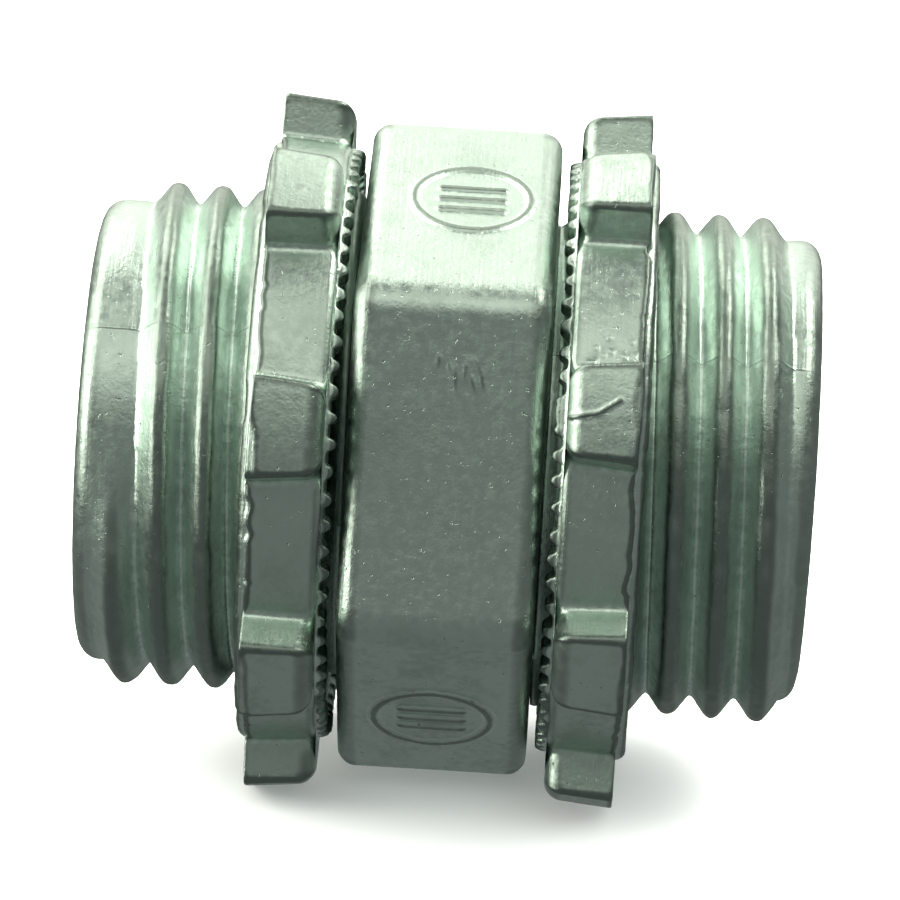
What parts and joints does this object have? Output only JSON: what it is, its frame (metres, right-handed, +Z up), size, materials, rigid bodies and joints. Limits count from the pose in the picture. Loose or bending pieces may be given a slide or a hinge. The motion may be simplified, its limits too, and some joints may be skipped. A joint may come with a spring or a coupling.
{
  "type": "conduit box spacer nipple",
  "caption": "Die-cast conduit spacer: a hexagon between threaded hollow ends, with a toothed, lugged locknut on each end to clamp it in an electrical box's knockout.",
  "frame": {"origin": "centre of the hexagon, on the axis of the threads", "axes": "+X along the axis towards the right-hand end, +Z up as the part lies on its locknuts' lugs, -Y towards the viewer"},
  "size_m": [0.0294, 0.028, 0.028],
  "materials": {
    "nipple_zinc": "bare die-cast zinc alloy, satin, light greenish grey",
    "locknut_zinc": "bare die-cast zinc alloy, satin, a little darker grey, with rough trimmed flash"
  },
  "bodies": {
    "nipple": {"nipple": "nipple_zinc"},
    "locknut_left_travel": {"locknut_left_collar": "locknut_zinc"},
    "locknut_left_turn": {"locknut_left": "locknut_zinc"},
    "locknut_right_travel": {"locknut_right_collar": "locknut_zinc"},
    "locknut_right_turn": {"locknut_right": "locknut_zinc"}
  },
  "joints": [
    {"name": "locknut_left_advance", "type": "slide", "parent": "nipple", "child": "locknut_left_travel", "axis": [-1, 0, 0], "range_m": [-0.00025, 0.00807]},
    {"name": "locknut_left_turn", "type": "hinge", "parent": "locknut_left_travel", "child": "locknut_left_turn", "pos_m": [-0.006, 0, 0], "axis": [-1, 0, 0], "range_deg": [-50, 1600]},
    {"name": "locknut_right_advance", "type": "slide", "parent": "nipple", "child": "locknut_right_travel", "axis": [1, 0, 0], "range_m": [-0.00025, 0.00862]},
    {"name": "locknut_right_turn", "type": "hinge", "parent": "locknut_right_travel", "child": "locknut_right_turn", "pos_m": [0.006, 0, 0], "axis": [1, 0, 0], "range_deg": [-50, 1710]}
  ],
  "couplings": [
    {"joint": "locknut_left_advance", "follows": "locknut_left_turn", "m_per_rad": 0.00028875},
    {"joint": "locknut_right_advance", "follows": "locknut_right_turn", "m_per_rad": 0.00028875}
  ]
}
